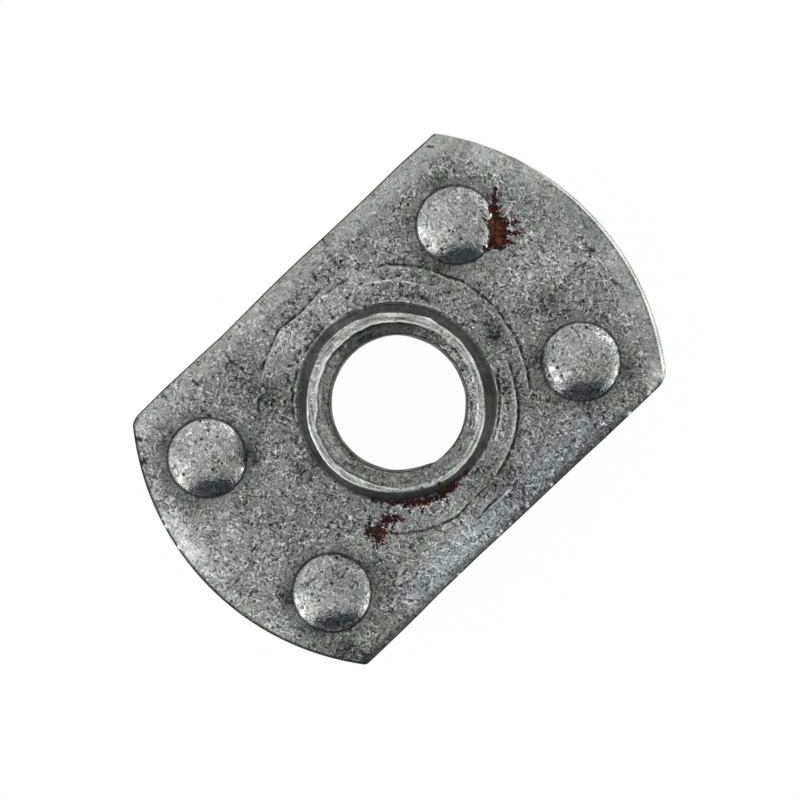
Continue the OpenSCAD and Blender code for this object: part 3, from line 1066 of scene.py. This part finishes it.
def side_marks(x, y, z, marks, patchy):
    """The other sides: calmer, with rubbed edges, drag lines down the sheared flats and painted shade down
    the bore.
    """
    r = np.hypot(x, y)
    down = (FACE_Z - z) / FLANGE_T
    d_flat, d_end = edge_distances(x, y)
    in_bore = (r < COUNTERSINK_R) & (z > 0.5) & (z < MOUTH_Z + 0.005)
    marks["calm"] += 0.75
    marks["tone_and_painted_light"] += 0.1 * patchy
    marks["polish"] += 0.15
    chamfer_top = np.hypot(r - BARREL_R, z - BARREL_CHAMFER)
    chamfer_end = np.hypot(r - BARREL_R + BARREL_CHAMFER, z)
    inside = 0.3 * UNDER_EDGE_R
    under_edge = np.hypot(np.minimum(d_flat, d_end) - inside, z - UNDER_Z - inside)
    nearest = np.minimum(np.minimum(chamfer_top, chamfer_end), under_edge)
    marks["wear_and_highlight"] += 0.4 * bump(nearest, 0.07) * (1 + patchy)
    sheared = (d_flat < 0.2) & (d_end > 0.05) & (z > UNDER_Z)
    drag = noise(np.column_stack([x, y, 0.1 * z]), 0.14, 121)
    burnished = 1 - ease(0.5, 0.6, down + 0.06 * noise(np.column_stack([x, y, z]), 0.4, 122))
    marks["tone_and_painted_light"] += sheared * (burnished * (0.06 + 0.12 * drag) - 0.1 * (1 - burnished))
    marks["calm"] += 0.3 * sheared * burnished
    # painted shade down the bore, darkest near its top
    marks["dirt_and_shade"] += in_bore * (0.25 + 0.55 * ease(MOUTH_Z - 0.6, MOUTH_Z - 0.1, z))


def surface_marks(points, upper_count):
    """The marks at each point of the surface, most from 0 to 1. The upper side's points come first."""
    x, y, _ = points.T
    marks = {name: np.zeros(len(points)) for name in MARKS}
    patchy = noise(points, 0.5, 101)
    edge_marks(x, y, marks, patchy)
    dome_marks(x, y, marks, patchy)
    collar_marks(x, y, marks, patchy)
    for cx, cy, r, strength in TONES:
        marks["tone_and_painted_light"] += 1.4 * strength * bump(np.hypot(x - cx, y - cy), r) * (1 + 0.4 * patchy)
    marks["dirt_and_shade"] += 0.9 * scratch_marks(x, y) + 0.95 * speck_marks(x, y)
    _, shine = nick_marks(x, y)
    ragged = 0.03 * noise(in_plane(x, y), 0.08, 117)
    shine = np.maximum(shine, 0.8 * (1 - ease(-0.01, 0.02, stroke_distance(x, y, RUBBED) + ragged)))
    marks["wear_and_highlight"] += (0.75 + 0.5 * patchy) * shine
    marks["dirt_and_shade"] *= 1 - shine
    marks["rust"] = rust_amount(x, y) * (1 - shine)

    others = {name: np.zeros(len(points) - upper_count) for name in MARKS}
    side_marks(*points[upper_count:].T, others, patchy[upper_count:])
    for name in MARKS:
        marks[name][upper_count:] = others[name]
    for name in ("wear_and_highlight", "dirt_and_shade", "polish"):
        marks[name] = np.clip(marks[name], 0.0, 1.0)
    marks["calm"] = np.clip(marks["calm"], -1.0, 1.0)
    return marks


class Nodes:
    """A short way to add nodes to one node tree."""

    def __init__(self, tree):
        self.tree = tree
        tree.nodes.clear()

    def feed(self, socket, value):
        """Links a socket, or sets its value."""
        if isinstance(value, bpy.types.NodeSocket):
            self.tree.links.new(value, socket)
        else:
            socket.default_value = value

    def add(self, kind, inputs=None, **settings):
        """A new node with its settings and inputs."""
        node = self.tree.nodes.new(kind)
        for name, value in settings.items():
            setattr(node, name, value)
        for name, value in (inputs or {}).items():
            self.feed(node.inputs[name], value)
        return node

    def math(self, operation, a, b=0.0, c=0.0):
        """One sum of two or three numbers."""
        return self.add("ShaderNodeMath", {0: a, 1: b, 2: c}, operation=operation).outputs[0]

    def total(self, *values):
        """The sum of several values, each a number from a node with its weight."""
        result = 0.0
        for value, weight in values:
            result = self.math("MULTIPLY_ADD", value, weight, result)
        return result

    def remap(self, value, start, end, low=0.0, high=1.0):
        """A value carried from one range to another, and held within it."""
        inputs = {0: value, 1: start, 2: end, 3: low, 4: high}
        return self.add("ShaderNodeMapRange", inputs).outputs[0]

    def ridge(self, value, width):
        """1 where a noise crosses its middle, falling to 0 at a width to either side."""
        from_middle = self.math("ABSOLUTE", self.math("SUBTRACT", value, 0.5))
        return self.remap(from_middle, 0.0, width, 1.0, 0.0)

    def mix(self, factor, a, b):
        """A mix of two numbers."""
        return self.add("ShaderNodeMix", {0: factor, 2: a, 3: b}).outputs[0]

    def blend(self, factor, a, b):
        """A mix of two colours."""
        return self.add("ShaderNodeMix", {0: factor, 6: a, 7: b}, data_type="RGBA").outputs[2]

    def noise(self, size, detail=1.0, roughness=0.5, distortion=0.0, seed=0.0):
        """Noise over the object, whose blobs are about size millimetres across."""
        inputs = {
            "Vector": self.add("ShaderNodeTexCoord").outputs["Object"],
            "W": seed,
            "Scale": 1 / (size * MM),
            "Detail": detail,
            "Roughness": roughness,
            "Distortion": distortion,
        }
        return self.add("ShaderNodeTexNoise", inputs, noise_dimensions="4D").outputs[0]

    def strokes(self, size, seed):
        """Short curved lines, 1 along them, a little below 0 beside them and 0 between."""
        value = self.noise(size, detail=0.5, distortion=0.7, seed=seed)
        core, edge = self.ridge(value, STROKE_W), self.ridge(value, 2.5 * STROKE_W)
        line = self.total((core, 1.5), (edge, -0.6))
        here = self.remap(self.noise(0.9 * size, detail=0.0, seed=seed + 0.7), 0.46, 0.54)
        return self.math("MULTIPLY", line, here)

    def tangle(self, *kinds):
        """Strokes of several sizes, each with its seed, over one another."""
        return self.total(*((self.strokes(size, seed), 1.0) for size, seed in kinds))

    def vector(self, operation, a, b=(0.0, 0.0, 0.0)):
        """The outputs of one sum of vectors."""
        return self.add("ShaderNodeVectorMath", {0: a, 1: b}, operation=operation).outputs

    def turned(self, across, round_about):
        """Noise drawn out round the collar, with a width across and a length round about."""
        place = self.add("ShaderNodeTexCoord").outputs["Object"]
        place = self.vector("SUBTRACT", place, (COLLAR_X * MM, COLLAR_Y * MM, 0.0))[0]
        flat = self.vector("MULTIPLY", place, (1, 1, 0))[0]
        r = self.vector("LENGTH", flat)["Value"]
        x, y, _ = self.add("ShaderNodeSeparateXYZ", {0: self.vector("NORMALIZE", flat)[0]}).outputs
        long = COUNTERSINK_R / round_about
        parts = {
            0: self.math("DIVIDE", r, across * MM),
            1: self.math("MULTIPLY", x, long),
            2: self.math("MULTIPLY", y, long),
        }
        vector = self.add("ShaderNodeCombineXYZ", parts).outputs[0]
        inputs = {"Vector": vector, "Scale": 1.0, "Detail": 1.0}
        return self.add("ShaderNodeTexNoise", inputs, noise_dimensions="3D").outputs[0]

    def attribute(self, name):
        """A number kept at each point of the mesh."""
        return self.add("ShaderNodeAttribute", attribute_name=name).outputs["Fac"]


# Greys of the steel, as even steps to the eye
STEEL_STEPS = ((0.0, 0.022), (0.25, 0.09), (0.5, 0.21), (0.75, 0.39), (1.0, 0.65), (1.4, 0.95))
STEEL_TOP = STEEL_STEPS[-1][0]

# Width of the mottling's strokes, as a part of their noise's range
STROKE_W = 0.06


def new_material(name):
    """A material, and a way to add nodes to its empty tree."""
    material = bpy.data.materials.new(name)
    material.use_nodes = True
    return material, Nodes(material.node_tree)


def new_object(name, data):
    """An object in the scene."""
    thing = bpy.data.objects.new(name, data)
    bpy.context.collection.objects.link(thing)
    return thing


def dull_steel():
    """Mottled grey steel with worn bright edges and painted highlights, painted shade in its creases, dark
    specks and scratches, and spots of rust.
    """
    material, n = new_material("dull_steel_mottled")
    tone_and_painted_light, wear_and_highlight, dirt_and_shade, rust, calm, polish, turned, cool = (n.attribute(name) for name in MARKS)

    grain = n.noise(0.085, detail=1.0, roughness=0.6, distortion=0.8)
    light = n.tangle((0.26, 1.0), (0.3, 3.0), (0.36, 5.0))
    dark = n.tangle((0.25, 7.0), (0.29, 9.0), (0.35, 21.0))
    pits = n.remap(n.noise(0.17, detail=0.0, distortion=0.6, seed=11.0), 0.28, 0.33, 1.0, 0.0)
    cloud = n.math("SUBTRACT", n.noise(0.7, detail=1.5, roughness=0.6, seed=13.0), 0.5)
    drift = n.math("SUBTRACT", n.noise(2.6, detail=1.0, seed=15.0), 0.5)
    texture = n.total(
        (n.math("SUBTRACT", grain, 0.5), 0.66),
        (light, 0.32),
        (dark, -0.3),
        (cloud, 0.22),
        (drift, 0.3),
        (pits, -0.26),
    )
    texture = n.math("MULTIPLY", texture, n.remap(calm, -1.0, 1.0, 1.65, 0.35))
    streaks = n.math("MULTIPLY", n.math("SUBTRACT", n.turned(0.09, 0.8), 0.5), turned)
    level = n.total((streaks, 0.7), (tone_and_painted_light, 1.0), (texture, 1.0), (0.5, 1.0))
    # wear_and_highlight lightens: real wear and painted highlights
    level = n.mix(n.math("MULTIPLY", wear_and_highlight, n.remap(grain, 0.35, 0.6, 0.7, 1.0)), level, 1.25)
    # dirt_and_shade darkens: real specks, scratches and pits, and painted shade
    level = n.mix(dirt_and_shade, level, 0.0)

    ramp = n.add("ShaderNodeValToRGB", {0: n.math("DIVIDE", level, STEEL_TOP)})
    elements = ramp.color_ramp.elements
    while len(elements) < len(STEEL_STEPS):
        elements.new(0.5)
    for element, (place, value) in zip(elements, STEEL_STEPS):
        element.position = place / STEEL_TOP
        element.color = (0.985 * value, value, 0.99 * value, 1.0)
    tint = n.blend(n.remap(cool, -1.0, 1.0), (1.02, 1.0, 0.94, 1), (0.96, 1.01, 1.03, 1))
    inputs = {0: 1.0, 6: ramp.outputs[0], 7: tint}
    steel = n.add("ShaderNodeMix", inputs, data_type="RGBA", blend_type="MULTIPLY")

    ragged = n.noise(0.13, detail=2.0, roughness=0.65, distortion=1.2, seed=17.0)
    rusty = n.total((light, -0.15), (n.remap(ragged, 0.25, 0.75, -0.6, 0.6), 1.0), (rust, 1.0))
    rust_mask = n.remap(rusty, 0.5, 0.6)
    streaky = n.total((dark, -0.5), (n.remap(ragged, 0.3, 0.7, -1.1, 1.1), 1.0), (rust, 1.0))
    core = n.remap(streaky, 1.5, 2.8)
    flaked = n.total((dark, -0.5), (light, 0.35), (n.remap(grain, 0.35, 0.65), 1.0))
    scale = n.blend(flaked, (0.02, 0.0085, 0.0075, 1), (0.09, 0.033, 0.027, 1))
    rust_colour = n.blend(core, scale, (0.3, 0.1, 0.02, 1))
    colour = n.blend(rust_mask, steel.outputs[2], rust_colour)

    roughness = n.math("SUBTRACT", n.remap(grain, 0.3, 0.7, 0.48, 0.4), n.math("MULTIPLY", polish, 0.3))
    roughness = n.total((rust_mask, 0.45), (dirt_and_shade, 0.1), (roughness, 1.0))
    metallic = n.remap(rust_mask, 0.0, 1.0, 1.0, 0.85)
    height = n.total((grain, 1.0), (light, 0.25), (dark, -0.25), (pits, -0.4), (rust_mask, 0.5))
    strength = n.remap(calm, 0.0, 1.0, 0.4, 0.1)
    relief = n.add("ShaderNodeBump", {"Strength": strength, "Distance": 0.02 * MM, "Height": height})

    inputs = {
        "Base Color": colour,
        "Metallic": metallic,
        "Roughness": roughness,
        "Normal": relief.outputs[0],
    }
    shader = n.add("ShaderNodeBsdfPrincipled", inputs)
    n.add("ShaderNodeOutputMaterial", {"Surface": shader.outputs[0]})
    return material


def make_nut():
    """The whole nut as one closed mesh, in place of its solid."""
    shell = Shell()
    rim_top, mouth_loop = add_upper_side(shell)
    upper_count = len(shell.points)
    rim_bottom, under_loop = add_underside(shell)
    add_rim(shell, rim_top, rim_bottom)
    add_core(shell, under_loop, mouth_loop)
    tris = np.vstack(shell.tris)
    mesh = bpy.data.meshes.new("steel_weld_nut")
    mesh.from_pydata((shell.points * MM).tolist(), [], tris.tolist())
    mesh.polygons.foreach_set("use_smooth", np.ones(len(tris), bool))
    for name, values in surface_marks(shell.points, upper_count).items():
        mesh.attributes.new(name, "FLOAT", "POINT").data.foreach_set("value", values)
    mesh.materials.append(dull_steel())
    mesh.validate()
    nut = new_object("steel_weld_nut", mesh)
    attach(nut, "root")
    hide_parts("weld_nut")


def make_floor():
    """A plain white floor, which keeps the nut's shadow and is clear from below."""
    mesh = bpy.data.meshes.new("floor")
    half = 1.5
    corners = [(-half, -half, 0), (half, -half, 0), (half, half, 0), (-half, half, 0)]
    mesh.from_pydata(corners, [], [(0, 1, 2, 3)])
    material, n = new_material("white_floor")
    path = n.add("ShaderNodeLightPath").outputs
    seen = n.math("MAXIMUM", path["Is Camera Ray"], path["Is Glossy Ray"])
    seen = n.math("MAXIMUM", seen, path["Is Transmission Ray"])
    tint = n.blend(n.noise(8.0, detail=3.0), (0.86, 0.86, 0.86, 1), (0.9, 0.9, 0.9, 1))
    lit = n.add("ShaderNodeBsdfDiffuse", {"Color": tint}).outputs[0]
    glow = n.add("ShaderNodeEmission", {"Color": (1, 1, 1, 1), "Strength": 1.0}).outputs[0]
    share = n.math("MULTIPLY", seen, 0.985)
    mixed = n.add("ShaderNodeMixShader", {0: share, 1: lit, 2: glow}).outputs[0]
    below = n.add("ShaderNodeNewGeometry").outputs["Backfacing"]
    clear = n.add("ShaderNodeBsdfTransparent").outputs[0]
    both = n.add("ShaderNodeMixShader", {0: below, 1: mixed, 2: clear}).outputs[0]
    n.add("ShaderNodeOutputMaterial", {"Surface": both})
    mesh.materials.append(material)
    floor = new_object("floor", mesh)


def light_room():
    """Soft light from all round, dark towards the foot of the picture, brighter low on both sides."""
    world = bpy.data.worlds.new("studio")
    bpy.context.scene.world = world
    world.use_nodes = True
    n = Nodes(world.node_tree)
    direction = n.add("ShaderNodeTexCoord").outputs["Generated"]

    def facing(side, start, end, low=0.0, high=1.0):
        """How far a direction turns to a side, carried from one range to another."""
        dot = n.vector("DOT_PRODUCT", direction, tuple(side))["Value"]
        return n.remap(dot, start, end, low, high)

    dim = facing(toward(-80), 0.68, 0.75)
    left = facing(toward(208, 14), 0.8, 0.95)
    low_down = facing((0, 0, 1), 0.1, 0.2, 1.0, 0.0)
    right = n.math("MULTIPLY", facing(toward(12), 0.5, 0.7), low_down)
    slant = facing(toward(140), -1.0, 1.0, 0.8, 1.2)
    strength = n.math("MULTIPLY", slant, n.remap(dim, 0.0, 1.0, 1.0, 0.15))
    strength = n.total((left, 1.0), (right, 2.4), (strength, 1.0))
    colour = n.blend(dim, (1, 1, 1, 1), (0.8, 0.92, 1.0, 1))
    sky = n.add("ShaderNodeBackground", {"Color": colour, "Strength": strength})
    n.add("ShaderNodeOutputWorld", {"Surface": sky.outputs[0]})


def place_camera():
    """A long lens looking straight down, turned as the picture is."""
    height, off_right, off_up = 165.6, 0.016, -0.045
    data = bpy.data.cameras.new("camera")
    data.lens = 200
    data.sensor_width = 36
    data.clip_start = 0.01
    data.clip_end = 10
    camera = new_object("camera", data)
    place = np.array([FLANGE_X, FLANGE_Y, FACE_Z + height]) + off_right * RIGHT + off_up * UP
    turn = Matrix((RIGHT, UP, (0, 0, 1))).transposed().to_4x4()
    camera.matrix_world = Matrix.Translation(place * MM) @ turn
    bpy.context.scene.camera = camera


make_nut()
make_floor()
light_room()
place_camera()
bpy.context.scene.view_settings.view_transform = "Standard"
